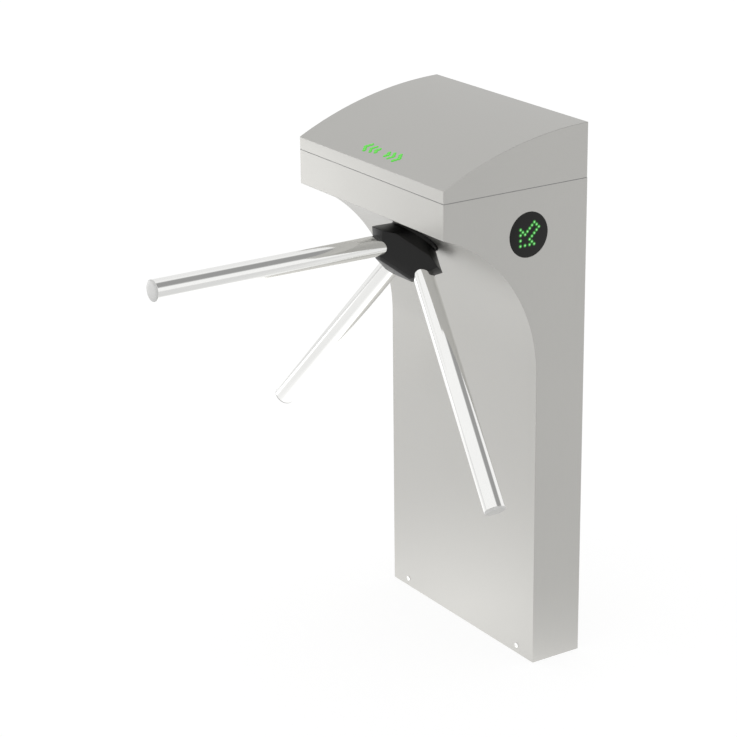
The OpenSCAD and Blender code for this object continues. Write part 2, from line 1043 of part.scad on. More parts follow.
// The two solenoids, bored for their plungers
module solenoids() {
    color("#4a4a48")
        at_hub()
            for (side = [0, 1])
                mirror([side, 0, 0])
                    difference() {
                        translate([solenoid_x, drive_at[1] - solenoid[1] / 2, plate_back - solenoid[2]])
                            cube(solenoid);
                        translate([solenoid_x - 1, drive_at[1], plunger_z])
                            rotate([0, 90, 0])
                                cylinder(r = plunger_r + run, h = solenoid[0] - 5);
                        for (x = [10, solenoid[0] - 10])
                            translate([solenoid_x + x, drive_at[1], plate_back - 4])
                                cylinder(r = mech_screw_r + fit, h = 5);
                    }
}

// Right-hand plunger, free: a slotted tongue, a rod and a collar for the spring
module plunger() {
    tongue_end = drive_at[0] + 9;
    color(ZINC)
        difference() {
            union() {
                translate([drive_at[0] - 7, drive_at[1] - 7, plunger_z - tongue_t / 2])
                    cube([16, 14, tongue_t]);
                translate([tongue_end - 0.5, drive_at[1], plunger_z])
                    rotate([0, 90, 0])
                        cylinder(r = plunger_r, h = solenoid_x - tongue_end + 28);
                translate([collar_x, drive_at[1], plunger_z])
                    rotate([0, 90, 0])
                        cylinder(r = plunger_r + 3, h = 2);
            }
            translate([drive_at[0], drive_at[1], plunger_z - tongue_t])
                for (y = [-0.7, 0.7])
                    translate([0, y, 0])
                        cylinder(r = drive_pin_r + 0.15, h = 2 * tongue_t);
            translate([drive_at[0] - drive_pin_r - 0.15, drive_at[1] - 0.7, plunger_z - tongue_t])
                cube([2 * drive_pin_r + 0.3, 1.4, 2 * tongue_t]);
        }
}

module plunger_right()
    at_hub()
        plunger();

module plunger_left()
    at_hub()
        mirror([1, 0, 0])
            plunger();

// The coil that pushes a plunger back out, as a plain tube of its size
module plunger_spring() {
    color(STEEL)
        translate([collar_x + 2, drive_at[1], plunger_z])
            rotate([0, 90, 0])
                ring(0.1, solenoid_x - collar_x - 2.1, plunger_r + 2.2, plunger_r + 0.8);
}

module plunger_spring_right()
    at_hub()
        plunger_spring();

module plunger_spring_left()
    at_hub()
        mirror([1, 0, 0])
            plunger_spring();

module damper_body() {
    color("#4a4a48")
        at_hub()
            translate([0, pinion_y, 0])
                difference() {
                    union() {
                        translate([0, 0, damper_back])
                            cylinder(r = damper_r, h = plate_back - damper_back);
                        translate([-32, -9, plate_back - 4])
                            cube([64, 18, 4]);
                    }
                    translate([0, 0, damper_back - 1])
                        cylinder(r = 4 + run, h = plate_back - damper_back - 5);
                    for (x = [-25, 25])
                        translate([x, 0, plate_back - 5])
                            cylinder(r = mech_screw_r + fit, h = 6);
                }
}

module damper_pinion() {
    color(STEEL)
        at_hub()
            translate([0, pinion_y, 0]) {
                translate([0, 0, gear_back - 1])
                    linear_extrude(gear_front - gear_back + 2)
                        gear_outline(pinion_teeth);
                translate([0, 0, gear_front])
                    cylinder(r = 4, h = plate_back - 8 - gear_front);
            }
}

module position_sensor() {
    foot_y = gear_teeth * gear_module / 2 + 6;
    color("#4a4a48")
        at_hub() {
            translate([-10, foot_y, code_back - 5])
                cube([20, 4, plate_back - code_back + 5]);
            translate([-10, foot_y, plate_back - 4])
                cube([20, 14, 4]);
            for (z = [code_back - 5, code_front + 1.5])
                translate([-6, index_r - 20, z])
                    cube([12, foot_y - index_r + 20.01, 3.5]);
        }
}

// Rotor

module hub() {
    color(DARK)
        at_hub()
            difference() {
                union() {
                    translate([0, 0, neck_end])
                        cylinder(r = neck_r, h = neck_top - neck_end + 0.01);
                    hull() {
                        translate([0, 0, neck_top - 0.01])
                            cylinder(r = neck_r, h = 0.02);
                        hub_slice(rim_low, shoulder_r);
                        hub_slice(rim_high - rim_edge, rim_r);
                        hub_slice(rim_high, rim_r);
                        hub_slice(face_z - 0.01, lobe_at(face_z));
                    }
                }
                translate([0, 0, neck_end - 1])
                    cylinder(r = shaft_r + fit, h = hub_bore - neck_end + 1);
                cylinder(r = bolt_r + fit, h = face_z);
                translate([0, 0, web_top])
                    cylinder(r = bolt_head_r + fit, h = face_z);
                for (a = [0, 120, 240])
                    along_arm(a) {
                        translate([0, 0, socket_start])
                            cylinder(r = arm_r + fit, h = 120);
                        arm_screw_place()
                            cylinder(r = grub_r + fit, h = 40);
                    }
            }
}

// A grub screw from the hub's outer face down onto the arm
module arm_screw_place() {
    translate([0, -arm_r - fit, socket_start + 18])
        rotate([90, 0, 0])
            children();
}

module arm_screws() {
    color(ZINC)
        at_hub()
            for (a = [0, 120, 240])
                along_arm(a)
                    arm_screw_place()
                        cylinder(r = grub_r, h = 12);
}

module hub_bolt() {
    color(ZINC)
        at_hub()
            translate([0, 0, web_top])
                screw(bolt_r, bolt_head_r, 10, web_top - neck_end - 3);
}

module hub_cover() {
    color(DARK)
        at_hub()
            difference() {
                union() {
                    hull() {
                        hub_slice(face_z, lobe_at(face_z), cover_inset);
                        hub_slice(face_z + 1, lobe_at(face_z + 1), cover_inset);
                        hub_slice(face_z + cover_t - 0.01, lobe_at(face_z + cover_t), cover_inset + 1.5);
                    }
                    translate([0, 0, face_z - 6])
                        cylinder(r = bolt_head_r, h = 6.5);
                }
                for (a = [0, 120, 240])
                    along_arm(a)
                        cylinder(r = arm_r + fit, h = 120);
            }
}

module arm(a) {
    color("#eef0f0")
        at_hub()
            along_arm(a)
                ring(socket_start + 0.1, arm_len - cap_t, arm_r, arm_r - arm_wall);
}

module arm_cap(a) {
    color("#e4e6e6")
        at_hub()
            along_arm(a) {
                translate([0, 0, arm_len - cap_t])
                    cylinder(r = arm_r, h = cap_t - 1);
                translate([0, 0, arm_len - 1])
                    cylinder(r1 = arm_r, r2 = arm_r - 1, h = 1);
                translate([0, 0, arm_len - cap_t - 12])
                    cylinder(r = arm_r - arm_wall - fit, h = 12.01);
            }
}

module arm_1() arm(0);

module arm_2() arm(240);

module arm_3() arm(120);

module arm_cap_1() arm_cap(0);

module arm_cap_2() arm_cap(240);

module arm_cap_3() arm_cap(120);

module main_shaft() {
    color(ZINC)
        at_hub()
            difference() {
                union() {
                    translate([0, 0, shaft_end])
                        cylinder(r = shaft_r, h = hub_bore - shaft_end);
                    translate([0, 0, collar_end])
                        cylinder(r = shaft_r + 4, h = neck_end - collar_end);
                }
                translate([0, 0, neck_end])
                    cylinder(r = bolt_r + fit, h = 40);
            }
}

module index_disc() {
    color("#a9adb1")
        at_hub()
            difference() {
                union() {
                    ring(index_back, index_front, index_r, shaft_r);
                    ring(gear_front, housing_end - 0.5, shaft_r + 7, shaft_r);
                }
                for (a = [0:60:300])
                    rotate([0, 0, a])
                        translate([-notch_w / 2, index_r - notch_d, index_back - 1])
                            cube([notch_w, notch_d + 5, index_front - index_back + 2]);
            }
}

// The gear is turned half a tooth, so that a gap meets the pinion's tooth
module drive_gear() {
    color("#a9adb1")
        at_hub()
            translate([0, 0, gear_back])
                rotate([0, 0, 180 + 180 / gear_teeth])
                    linear_extrude(gear_front - gear_back)
                        difference() {
                            gear_outline(gear_teeth);
                            circle(r = shaft_r);
                        }
}

module code_disc() {
    color(DARK)
        at_hub()
            difference() {
                union() {
                    ring(code_back, code_front, index_r - 12, shaft_r);
                    ring(code_front, gear_back, shaft_r + 5, shaft_r);
                }
                for (a = [0:30:330])
                    rotate([0, 0, a])
                        translate([-2, index_r - 22, code_back - 1])
                            cube([4, 6, code_front - code_back + 2]);
            }
}

module shaft_nut() {
    color(ZINC)
        at_hub()
            difference() {
                translate([0, 0, nut_back])
                    cylinder(r = shaft_r + 7, h = code_back - nut_back, $fn = 6);
                translate([0, 0, nut_back - 1])
                    cylinder(r = shaft_r, h = code_back - nut_back + 2);
            }
}

base_plate();
cable_grommet();
rear_uprights();
head_rails();
lid_seal();
side_panel_left();
side_panel_right();
front_panel();
head_front_panel();
rear_panel();
panel_screws();
electronics_plate();
control_board();
board_standoffs();
power_supply();
indicator_window_right();
indicator_lights_right();
indicator_housing_right();
indicator_window_left();
indicator_lights_left();
indicator_housing_left();
cabinet_hinge_leaves();
hinge_pins();
lid_hinge_leaves();
lid();
display_board();
display_lights();
lid_lock();
lock_cam();
mechanism_plate();
mechanism_brackets();
mechanism_screws();
bearing_housing();
bearings();
damper_body();
damper_pinion();
position_sensor();
pawl_pivots();
lock_pawl_left();
lock_pawl_right();
solenoids();
plunger_left();
plunger_right();
plunger_spring_left();
plunger_spring_right();
hub();
hub_bolt();
hub_cover();
main_shaft();
index_disc();
drive_gear();
code_disc();
shaft_nut();
arm_1();
arm_2();
arm_3();
arm_cap_1();
arm_cap_2();
arm_cap_3();
arm_screws();
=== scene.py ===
"""Looks of the tripod turnstile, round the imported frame. Metres, in the part's own frame."""

import json
import math

import bmesh
import bpy
from mathutils import Matrix, Vector


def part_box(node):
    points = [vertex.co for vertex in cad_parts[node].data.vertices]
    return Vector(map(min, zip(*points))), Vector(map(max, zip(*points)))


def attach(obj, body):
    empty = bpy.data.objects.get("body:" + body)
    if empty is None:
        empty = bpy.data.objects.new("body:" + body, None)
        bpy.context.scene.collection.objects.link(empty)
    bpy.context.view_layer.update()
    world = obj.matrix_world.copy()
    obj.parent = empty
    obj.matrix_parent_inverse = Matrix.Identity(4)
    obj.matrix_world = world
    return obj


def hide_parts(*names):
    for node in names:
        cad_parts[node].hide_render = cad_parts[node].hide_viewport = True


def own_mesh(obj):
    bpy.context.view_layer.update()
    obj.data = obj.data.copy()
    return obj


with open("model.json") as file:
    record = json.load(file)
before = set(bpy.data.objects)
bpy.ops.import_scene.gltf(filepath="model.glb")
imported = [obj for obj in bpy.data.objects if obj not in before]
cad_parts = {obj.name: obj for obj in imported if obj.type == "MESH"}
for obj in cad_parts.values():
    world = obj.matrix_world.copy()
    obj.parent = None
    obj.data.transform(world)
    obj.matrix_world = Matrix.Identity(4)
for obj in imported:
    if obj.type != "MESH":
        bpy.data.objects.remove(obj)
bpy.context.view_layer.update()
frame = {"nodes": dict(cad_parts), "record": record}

# Sizes of the part, as its source has them
BODY_X = 0.228
HEAD_FRONT = -0.250
POST_FRONT = -0.052
BACK = 0.052
TOTAL_H = 1.000
LID_FRONT_H = 0.925
SEAM_H = 0.901
CHIN_H = 0.838
ARC_R = 0.298
ARC_C = (-0.350, CHIN_H - math.sqrt(ARC_R**2 - 0.100**2))
LID_R = 0.703
LID_LOW = 0.9022
SHEET_T = 0.0015
INNER_X = BODY_X - SHEET_T
FOLD_R = 0.0012
EDGE_R = 0.0003
NODE_EDGE_R = 0.0004
TILT = math.radians(49.7)
HUB_PLACE = math.radians(48.3)
HUB_SINK = 0.0107
APEX = Vector(
    (
        0,
        ARC_C[0] + (ARC_R - HUB_SINK) * math.cos(HUB_PLACE),
        ARC_C[1] + (ARC_R - HUB_SINK) * math.sin(HUB_PLACE),
    )
)
ARM_LEN = 0.524
ARM_R = 0.019
ARM_WALL = 0.0015
# Each arm's number and its turn round the hub from the level arm, in degrees
ARMS = ((1, 0), (2, 240), (3, 120))
SOCKET_START = 0.034
SOCKET_END = 0.16
RUNNING_GAP = 0.0001
CAP_T = 0.003
CAP_PLUG = 0.012
CAP_ROUND_R = 0.0012
NECK_R = 0.046
NECK_GAP = 0.003
RIM_R = 0.078
RIM_FLAT = 0.058
FACE_FLAT = 0.0315
RIM_LOW = 0.016
RIM_HIGH = 0.025
NECK_TOP = -0.004
NECK_LOW = -0.021
FACE_Z = 0.062
HUB_EDGE_R = 0.0008
COVER_T = 0.005
SHAFT_R = 0.0151
SHAFT_END = 0.002
BOLT_R = 0.0051
BOLT_HEAD_R = 0.0086
BOLT_SEAT = 0.022
WINDOW = (-0.073, 0.820)
WINDOW_R = 0.0407
WINDOW_GAP = 0.0003
WINDOW_T = 0.0019
WINDOW_FLANGE = 0.0033
FLANGE_T = 0.002
BOARD_R = WINDOW_R + 0.0028
BOARD_X = INNER_X - 0.006
BOARD_T = 0.0016
LED_PITCH = 0.00485
LED_R = 0.0023
LED_LIP_R = 0.0034
DISPLAY_R = 0.0020
DISPLAY_Y = HEAD_FRONT + 0.029
DISPLAY_LIP = 1.08
# Each chevron on the lid: place of its tip, lights to each side of it, their pitch
CHEVRONS = ((0.019, 1, 0.004), (0.035, 2, 0.0034), (0.053, 2, 0.004))
LENS_SEAT = 0.00002
# Shares of a lens's radius where its paler core starts to fade and has gone
CORE_FULL, CORE_GONE = 0.22, 0.64
LOCK = (0.012, 0.926)
KEYHOLE_R = 0.0091
SPRING_WIRE = 0.0007
SPRING_TURNS = 7
# Radius and length of a screw's shank, then radius, height and socket of each kind of head
SCREW_SHANK = (0.003, 0.009)
FRONT_SCREW = (0.005, 0.0016, 0.002)
REAR_SCREW = (0.0055, 0.002, 0.002)
FRONT_SCREWS_X = (-0.178, 0.178)
FRONT_SCREWS_Z = 0.015
REAR_SCREWS_X = (-0.214, 0.214)
REAR_SCREWS_Z = (0.120, SEAM_H / 2, SEAM_H - 0.120)

# How far cutters reach past a sheet, and how near counts as level with an edge
PAST = 0.01
NEAR = 1e-6

AT_HUB = Matrix.Translation(APEX) @ Matrix.Rotation(math.pi / 2 + TILT, 4, "X")


def lid_centre():
    """Centre of the lid's arched top, in depth and height."""
    depth, rise = BACK - HEAD_FRONT, TOTAL_H - LID_FRONT_H
    chord = math.hypot(depth, rise)
    drop = math.sqrt(LID_R**2 - chord**2 / 4) / chord
    return (
        HEAD_FRONT + depth / 2 + rise * drop,
        LID_FRONT_H + rise / 2 - depth * drop,
    )


LID_C = lid_centre()


# Mesh helpers


def new_object(name, bm, sharp=35):
    """A smooth-shaded object from bm, with edges over sharp degrees kept crisp."""
    bmesh.ops.remove_doubles(bm, verts=bm.verts, dist=1e-7)
    bmesh.ops.recalc_face_normals(bm, faces=bm.faces)
    mesh = bpy.data.meshes.new(name)
    bm.to_mesh(mesh)
    bm.free()
    crisp(mesh, sharp)
    obj = bpy.data.objects.new(name, mesh)
    bpy.context.scene.collection.objects.link(obj)
    return obj


def crisp(mesh, sharp):
    """Smooth shading, with edges over sharp degrees kept crisp."""
    bm = bmesh.new()
    bm.from_mesh(mesh)
    for f in bm.faces:
        f.smooth = True
    for e in bm.edges:
        e.smooth = not e.is_manifold or e.calc_face_angle(0) < math.radians(sharp)
    bm.to_mesh(mesh)
    bm.free()


def applied(obj, sharp=35):
    """Turns obj's modifiers into mesh."""
    bpy.context.view_layer.update()
    graph = bpy.context.evaluated_depsgraph_get()
    mesh = bpy.data.meshes.new_from_object(obj.evaluated_get(graph))
    obj.modifiers.clear()
    obj.data = mesh
    crisp(mesh, sharp)
    return obj


def cut(obj, *cutters):
    """Takes the cutters out of obj and deletes them."""
    for c in cutters:
        m = obj.modifiers.new("cut", "BOOLEAN")
        m.operation = "DIFFERENCE"
        m.solver = "EXACT"
        m.object = c
    applied(obj)
    for c in cutters:
        bpy.data.objects.remove(c)


def bevel(obj, width, angle, segments=2):
    """Rounds the edges that turn by more than angle degrees."""
    m = obj.modifiers.new("bevel", "BEVEL")
    m.width = width
    m.segments = segments
    m.limit_method = "ANGLE"
    m.angle_limit = math.radians(angle)
    m.miter_outer = "MITER_ARC"


def flatten_normals(obj):
    """Lets the wide flat faces set the shading beside rounded edges."""
    m = obj.modifiers.new("normals", "WEIGHTED_NORMAL")
    m.weight = 90
    m.keep_sharp = True


def joined(name, objs):
    """One object from several."""
    bm = bmesh.new()
    for o in objs:
        o.data.transform(o.matrix_world)
        bm.from_mesh(o.data)
        bpy.data.objects.remove(o)
    mesh = bpy.data.meshes.new(name)
    bm.to_mesh(mesh)
    bm.free()
    obj = bpy.data.objects.new(name, mesh)
    bpy.context.scene.collection.objects.link(obj)
    return obj


def loft(name, loops, matrix=Matrix.Identity(4), sharp=35):
    """A closed skin over loops of equal length, capped at both ends.

    A loop of one point closes to a tip.
    """
    bm = bmesh.new()
    rows = [[bm.verts.new(matrix @ Vector(p)) for p in loop] for loop in loops]
    for a, b in zip(rows, rows[1:]):
        n = max(len(a), len(b))
        for i in range(n):
            j = (i + 1) % n
            if len(a) == 1:
                bm.faces.new((a[0], b[i], b[j]))
            elif len(b) == 1:
                bm.faces.new((a[i], a[j], b[0]))
            else:
                bm.faces.new((a[i], a[j], b[j], b[i]))
    for row in (rows[0], rows[-1]):
        if len(row) > 2:
            bm.faces.new(row)
    return new_object(name, bm, sharp)


def circle(r, z, n=64, sides=0):
    """A loop at height z: round, or a polygon of that many sides with that inner radius."""
    if r == 0:
        return [(0, 0, z)]
    loop = []
    for i in range(n):
        a = 2 * math.pi * i / n
        k = r
        if sides:
            step = 2 * math.pi / sides
            k = r / math.cos((a % step) - step / 2)
        loop.append((k * math.cos(a), k * math.sin(a), z))
    return loop


def lathe(name, profile, matrix, n=64):
    """A turned piece from (radius, height) pairs."""
    return loft(name, [circle(r, z, n) for r, z in profile], matrix)


def rounded(r_edge, z_edge, round_r, steps=4):
    """Points that round off an outer edge, going from the side to the end face."""
    turns = [math.pi / 2 * i / steps for i in range(steps + 1)]
    return [
        (r_edge - round_r + round_r * math.cos(t), z_edge + (round_r * math.sin(t) - round_r))
        for t in turns
    ]


def prism(name, outline, x0, x1):
    """A side view stood up between two places in X."""
    bm = bmesh.new()
    ends = [[bm.verts.new((x, y, z)) for y, z in outline] for x in (x0, x1)]
    n = len(outline)
    for i in range(n):
        j = (i + 1) % n
        bm.faces.new((ends[0][i], ends[0][j], ends[1][j], ends[1][i]))
    bm.faces.new(ends[0])
    bm.faces.new(ends[1])
    return new_object(name, bm)


def bevel_edges(obj, wanted, width):
    """Bevels the edges whose two ends satisfy wanted(a, b)."""
    bm = bmesh.new()
    bm.from_mesh(obj.data)
    edges = [
        e
        for e in bm.edges
        if e.calc_face_angle(0) > 0.3 and wanted(e.verts[0].co, e.verts[1].co)
    ]
    bmesh.ops.bevel(
        bm,
        geom=edges,
        offset=width,
        segments=3,
        profile=0.5,
        affect="EDGES",
        clamp_overlap=True,
    )
    bm.to_mesh(obj.data)
    bm.free()
    crisp(obj.data, 35)


def cylinder(matrix, r, z0, z1, n=64):
    """A plain cutter."""
    return lathe("cutter", [(r, z0), (r, z1)], matrix, n)


# Materials


def material(
    name,
    base,
    *,
    metallic,
    rough,
    grain,
    vary,
    rough_vary,
    bump,
    cloud,
    ior_level=0.5,
    coat=0.0,
    spots=0.0,
):
    """A procedural finish: fine grain over a slow change across the piece.

    The grain is streaked where it differs by axis. Both vary the tone and the roughness.
    """
    mat = bpy.data.materials.new(name)
    mat.use_nodes = True
    t = mat.node_tree
    t.nodes.clear()
    out = t.nodes.new("ShaderNodeOutputMaterial")
    shader = t.nodes.new("ShaderNodeBsdfPrincipled")
    t.links.new(shader.outputs[0], out.inputs[0])
    shader.inputs["Metallic"].default_value = metallic
    shader.inputs["Specular IOR Level"].default_value = ior_level
    if coat:
        shader.inputs["Coat Weight"].default_value = coat
        shader.inputs["Coat Roughness"].default_value = 0.08
    place = t.nodes.new("ShaderNodeTexCoord")
    scale = t.nodes.new("ShaderNodeMapping")
    scale.inputs["Scale"].default_value = grain
    fine = t.nodes.new("ShaderNodeTexNoise")
    fine.inputs["Scale"].default_value = 1.0
    fine.inputs["Detail"].default_value = 2.0
    slow = t.nodes.new("ShaderNodeTexNoise")
    slow.inputs["Scale"].default_value = cloud
    slow.inputs["Detail"].default_value = 3.0
    t.links.new(place.outputs["Object"], scale.inputs["Vector"])
    t.links.new(scale.outputs[0], fine.inputs["Vector"])
    t.links.new(place.outputs["Object"], slow.inputs["Vector"])
    both = t.nodes.new("ShaderNodeMix")
    both.inputs["Factor"].default_value = 0.45
    t.links.new(fine.outputs["Fac"], both.inputs["A"])
    t.links.new(slow.outputs["Fac"], both.inputs["B"])
    tone = t.nodes.new("ShaderNodeValToRGB")
    for i, k in ((0, 1 - vary), (1, 1 + vary)):
        tone.color_ramp.elements[i].position = 0.3 + 0.4 * i
        tone.color_ramp.elements[i].color = [min(1, c * k) for c in base] + [1]
    t.links.new(both.outputs["Result"], tone.inputs["Fac"])
    colour = tone.outputs["Color"]
    if spots:
        dots = t.nodes.new("ShaderNodeTexVoronoi")
        dots.inputs["Scale"].default_value = spots
        near = t.nodes.new("ShaderNodeMapRange")
        near.inputs["From Max"].default_value = 0.25
        near.inputs["To Min"].default_value = 0.25
        mixed = t.nodes.new("ShaderNodeMix")
        mixed.data_type = "RGBA"
        mixed.blend_type = "MULTIPLY"
        mixed.inputs["Factor"].default_value = 0.5
        t.links.new(place.outputs["Object"], dots.inputs["Vector"])
        t.links.new(dots.outputs["Distance"], near.inputs["Value"])
        t.links.new(colour, mixed.inputs["A"])
        t.links.new(near.outputs[0], mixed.inputs["B"])
        colour = mixed.outputs["Result"]
    t.links.new(colour, shader.inputs["Base Color"])
    gloss = t.nodes.new("ShaderNodeMapRange")
    gloss.inputs["From Min"].default_value = 0.3
    gloss.inputs["From Max"].default_value = 0.7
    gloss.inputs["To Min"].default_value = max(0.02, rough - rough_vary)
    gloss.inputs["To Max"].default_value = rough + rough_vary
    t.links.new(both.outputs["Result"], gloss.inputs["Value"])
    t.links.new(gloss.outputs[0], shader.inputs["Roughness"])
    relief = t.nodes.new("ShaderNodeBump")
    relief.inputs["Strength"].default_value = bump
    relief.inputs["Distance"].default_value = 0.0002
    t.links.new(fine.outputs["Fac"], relief.inputs["Height"])
    t.links.new(relief.outputs[0], shader.inputs["Normal"])
    return mat


def glow_material(name, rim, core):
    """A lit lens: paler at its middle, which the mesh's core attribute marks."""
    mat = bpy.data.materials.new(name)
    mat.use_nodes = True
    t = mat.node_tree
    shader = t.nodes["Principled BSDF"]
    mark = t.nodes.new("ShaderNodeAttribute")
    mark.attribute_name = "core"
    tone = t.nodes.new("ShaderNodeValToRGB")
    tone.color_ramp.elements[0].color = rim + (1,)
    tone.color_ramp.elements[1].color = core + (1,)
    t.links.new(mark.outputs["Fac"], tone.inputs["Fac"])
    t.links.new(tone.outputs[0], shader.inputs["Emission Color"])
    shader.inputs["Base Color"].default_value = (0.004, 0.05, 0.004, 1)
    shader.inputs["Emission Strength"].default_value = 1.0
    shader.inputs["Roughness"].default_value = 0.25
    return mat


STEEL = (0.530, 0.524, 0.503)
MATS = {
    "stainless_sheet": material(
        "satin_steel", STEEL, metallic=1, rough=0.40, grain=(2400, 2400, 30), vary=0.03,
        rough_vary=0.04, bump=0.03, cloud=5,
    ),
    "lid_top": material(
        "satin_steel_lid", STEEL, metallic=1, rough=0.40, grain=(2400, 30, 2400), vary=0.03,
        rough_vary=0.04, bump=0.03, cloud=5,
    ),
    "polished_tube": material(
        "polished_steel", (0.92, 0.92, 0.905), metallic=1, rough=0.10,
        grain=(700, 700, 700), vary=0.02, rough_vary=0.03, bump=0.01, cloud=14,
    ),
    "polished_cap": material(
        "polished_cap", (0.80, 0.80, 0.785), metallic=0, rough=0.16, grain=(900, 900, 900),
        vary=0.02, rough_vary=0.03, bump=0.01, cloud=30,
    ),
    "hub_black": material(
        "black_coating", (0.0045, 0.0045, 0.0042), metallic=0, rough=0.38,
        grain=(1600, 1600, 1600), vary=0.2, rough_vary=0.05, bump=0.12, cloud=20,
        ior_level=0.36,
    ),
    "black_plastic": material(
        "black_plastic", (0.010, 0.010, 0.010), metallic=0, rough=0.4,
        grain=(1200, 1200, 1200), vary=0.2, rough_vary=0.05, bump=0.08, cloud=20,
    ),
    "dark_window": material(
        "dark_acrylic", (0.005, 0.005, 0.004), metallic=0, rough=0.12,
        grain=(300, 300, 300), vary=0.2, rough_vary=0.03, bump=0.005, cloud=20,
        ior_level=0.3,
    ),
    "green_light": glow_material("green_light", (0.002, 0.16, 0.003), (0.30, 0.95, 0.30)),
    "display_light": glow_material("display_light", (0.06, 0.52, 0.02), (0.13, 0.70, 0.05)),
    "grey_seal": material(
        "grey_seal", (0.30, 0.30, 0.30), metallic=0, rough=0.6, grain=(1500, 1500, 1500),
        vary=0.1, rough_vary=0.08, bump=0.1, cloud=30,
    ),
    "rubber": material(
        "rubber", (0.012, 0.012, 0.012), metallic=0, rough=0.75, grain=(1500, 1500, 1500),
        vary=0.3, rough_vary=0.08, bump=0.2, cloud=30,
    ),
    "zinc_steel": material(
        "zinc_plate", (0.52, 0.53, 0.54), metallic=1, rough=0.38, grain=(260, 260, 260),
        vary=0.12, rough_vary=0.1, bump=0.04, cloud=40,
    ),
    "machined_steel": material(
        "machined_steel", (0.46, 0.46, 0.46), metallic=1, rough=0.28,
        grain=(2200, 60, 2200), vary=0.06, rough_vary=0.06, bump=0.03, cloud=30,
    ),
    "machined_aluminium": material(
        "machined_aluminium", (0.58, 0.59, 0.60), metallic=1, rough=0.4,
        grain=(60, 2000, 2000), vary=0.05, rough_vary=0.06, bump=0.05, cloud=20,
    ),
    "nylon": material(
        "nylon", (0.66, 0.64, 0.55), metallic=0, rough=0.5, grain=(700, 700, 700),
        vary=0.05, rough_vary=0.05, bump=0.03, cloud=30,
    ),
    "black_disc": material(
        "black_disc", (0.012, 0.012, 0.013), metallic=0, rough=0.55, grain=(900, 900, 900),
        vary=0.2, rough_vary=0.06, bump=0.05, cloud=30,
    ),
    "circuit_board": material(
        "circuit_board", (0.016, 0.110, 0.042), metallic=0, rough=0.38,
        grain=(420, 60, 420), vary=0.25, rough_vary=0.06, bump=0.05, cloud=60,
        ior_level=0.5, coat=0.2, spots=260,
    ),
    "dark_case": material(
        "dark_case", (0.035, 0.035, 0.037), metallic=0, rough=0.45,
        grain=(1100, 1100, 1100), vary=0.15, rough_vary=0.06, bump=0.1, cloud=30,
    ),
    "supply_case": material(
        "supply_case", (0.42, 0.43, 0.44), metallic=1, rough=0.45, grain=(500, 500, 500),
        vary=0.1, rough_vary=0.08, bump=0.05, cloud=30,
    ),
}
SLOT_OF = {s["node"]: s["material_slot"] for s in frame["record"]["subparts"]}


def made(obj, body, slot, *nodes, mat=None):
    """Finishes a piece: its material, the slot's unless mat is given, its body, and hides the
    nodes it stands for.
    """
    obj.data.materials.clear()
    obj.data.materials.append(MATS[mat or slot])
    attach(obj, body)
    if nodes:
        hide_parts(*nodes)


# Cabinet


def arc_points(centre, r, start, end, steps):
    """Points along an arc, in depth and height, angles in degrees."""
    turns = [math.radians(start + (end - start) * i / steps) for i in range(steps + 1)]
    return [(centre[0] + r * math.cos(t), centre[1] + r * math.sin(t)) for t in turns]


def cabinet_outline(g, low, top, back):
    """Side view of the cabinet below the seam, drawn in by g."""
    front = HEAD_FRONT + g
    r = ARC_R + g
    end = math.degrees(math.acos((front - ARC_C[0]) / r))
    arc = arc_points(ARC_C, r, 0, end, 48)
    return [(POST_FRONT + g, low)] + arc + [(front, top), (back, top), (back, low)]


def lid_outline(g, low, back):
    """Side view of the lid, drawn in by g."""
    front, r = HEAD_FRONT + g, LID_R - g
    start = math.degrees(math.acos((front - LID_C[0]) / r))
    end = math.degrees(math.acos((back - LID_C[0]) / r))
    return [(front, low)] + arc_points(LID_C, r, start, end, 40) + [(back, low)]


def on_side(side):
    """Turns +Z outwards through a cabinet side, with local X along depth and local Y up."""
    m = Matrix(((0, 0, side, 0), (1, 0, 0, 0), (0, 1, 0, 0), (0, 0, 0, 1)))
    return Matrix.Translation((0, WINDOW[0], WINDOW[1])) @ m


def build_cabinet():
    shell = prism("cabinet_shell", cabinet_outline(0, 0, SEAM_H, BACK), -BODY_X, BODY_X)

    def fold(a, b):
        foot = max(a.z, b.z) < NEAR
        seam = min(a.z, b.z) > SEAM_H - NEAR
        return not foot and not seam and min(a.y, b.y) < BACK - NEAR

    bevel_edges(shell, fold, FOLD_R)
    hollow = cabinet_outline(SHEET_T, -PAST, SEAM_H + PAST, BACK + PAST)
    inner = prism("cutter", hollow, -INNER_X, INNER_X)
    windows = [
        cylinder(on_side(s), WINDOW_R, BODY_X - PAST, BODY_X + PAST, 128) for s in (-1, 1)
    ]
    neck = cylinder(AT_HUB, NECK_R + NECK_GAP, -0.06, 0.02)
    cut(shell, inner, neck, *windows)
    bevel(shell, EDGE_R, 50)
    flatten_normals(applied(shell))
    made(
        shell,
        "cabinet",
        "stainless_sheet",
        "side_panel_left",
        "side_panel_right",
        "front_panel",
        "head_front_panel",
    )


def display_dots():
    """Place of each light on the lid and the radius of its lens, as (x, depth, radius)."""
    dots = []
    for side in (-1, 1):
        for tip, count, pitch in CHEVRONS:
            for j in range(-count, count + 1):
                place = (side * (tip - abs(j) * pitch), DISPLAY_Y + j * pitch)
                dots.append((*place, pitch * DISPLAY_LIP))
    return dots


def on_lid(x, y):
    """A frame on the lid's top with +Z out of it."""
    out = Vector((0, y - LID_C[0], math.sqrt(LID_R**2 - (y - LID_C[0]) ** 2))).normalized()
    place = Vector((x, LID_C[0] + out.y * LID_R, LID_C[1] + out.z * LID_R))
    across = Vector((1, 0, 0))
    m = Matrix((across, out.cross(across), out)).transposed().to_4x4()
    return Matrix.Translation(place) @ m


